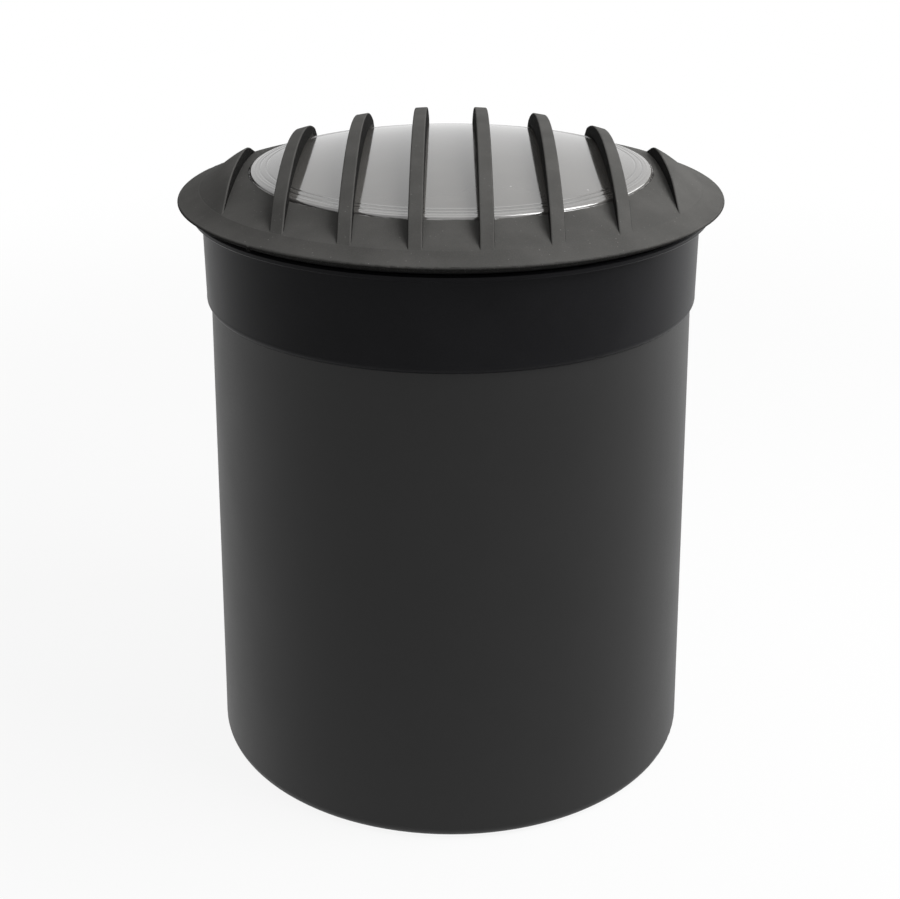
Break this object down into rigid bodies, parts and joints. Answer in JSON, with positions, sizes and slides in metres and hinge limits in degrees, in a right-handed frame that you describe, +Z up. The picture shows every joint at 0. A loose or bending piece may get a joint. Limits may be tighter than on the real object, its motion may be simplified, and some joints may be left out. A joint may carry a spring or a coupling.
{
  "type": "in-ground well light",
  "caption": "Round in-ground well light: louvred cap turning over a domed glass lens, lift-out lens frame, collar, buried sleeve and a sealed-beam lamp that pans and tilts inside.",
  "frame": {"origin": "centre of the sleeve's flat base, which is also the centre of the object's bounding box at its bottom", "axes": "+Z up along the sleeve's axis towards the louvres; the louvres run along Y; the cable grommet is at the back, +Y"},
  "size_m": [0.186, 0.186, 0.2307],
  "materials": {
    "louvre_composite": "satin moulded composite, fine grain",
    "collar_composite": "near-black satin composite",
    "sleeve_plastic": "matt dark grey moulded plastic",
    "frame_composite": "satin composite",
    "lens_glass": "clear domed glass, frosted inside",
    "silicone": "matt silicone",
    "rubber": "matt rubber",
    "stainless": "brushed stainless steel",
    "lamp_glass": "pressed lamp glass",
    "reflector": "aluminised glass bowl",
    "ceramic": "unglazed ceramic",
    "brass": "plain brass",
    "knob_plastic": "moulded plastic",
    "block_plastic": "pale thermoplastic"
  },
  "bodies": {
    "well": {"collar": "collar_composite", "sleeve": "sleeve_plastic", "floor_plate": "sleeve_plastic", "collar_screws": "stainless", "cable_grommet": "rubber", "ring_clips": "stainless", "ring_clip_screws": "stainless", "terminal_block": "block_plastic", "block_fixing_screws": "stainless", "wire_clamp_screws": "brass"},
    "lens_unit": {"lens_frame": "frame_composite", "lens": "lens_glass", "lens_gasket": "silicone", "lens_clamp_ring": "frame_composite", "lens_clamp_screws": "stainless", "frame_seal": "rubber"},
    "louvres": {"louvre_cap": "louvre_composite"},
    "pan_carriage": {"pan_ring": "frame_composite", "carriage_arms": "stainless", "arm_screws": "stainless"},
    "lamp": {"lamp_cradle": "stainless", "tilt_pins": "stainless", "lamp_glass": "lamp_glass", "lamp_reflector": "reflector", "lamp_base": "ceramic", "lamp_burner": "lamp_glass", "lamp_terminals": "brass", "lamp_clips": "stainless", "lamp_clip_rivets": "stainless"},
    "right_knob": {"tilt_knob_right": "knob_plastic"},
    "left_knob": {"tilt_knob_left": "knob_plastic"}
  },
  "joints": [
    {"name": "lens_unit_lift", "type": "slide", "parent": "well", "child": "lens_unit", "axis": [0, 0, 1], "range_m": [0, 0.06]},
    {"name": "louvre_turn", "type": "hinge", "parent": "lens_unit", "child": "louvres", "pos_m": [0, 0, 0.2065], "axis": [0, 0, 1], "continuous": true},
    {"name": "lamp_pan", "type": "hinge", "parent": "well", "child": "pan_carriage", "pos_m": [0, 0, 0.182], "axis": [0, 0, 1], "range_deg": [-170, 170]},
    {"name": "lamp_tilt", "type": "hinge", "parent": "pan_carriage", "child": "lamp", "pos_m": [0, 0, 0.164], "axis": [1, 0, 0], "range_deg": [-15, 15]},
    {"name": "right_knob_turn", "type": "hinge", "parent": "pan_carriage", "child": "right_knob", "pos_m": [0.065, 0, 0.164], "axis": [1, 0, 0], "continuous": true},
    {"name": "left_knob_turn", "type": "hinge", "parent": "pan_carriage", "child": "left_knob", "pos_m": [-0.065, 0, 0.164], "axis": [1, 0, 0], "continuous": true}
  ]
}
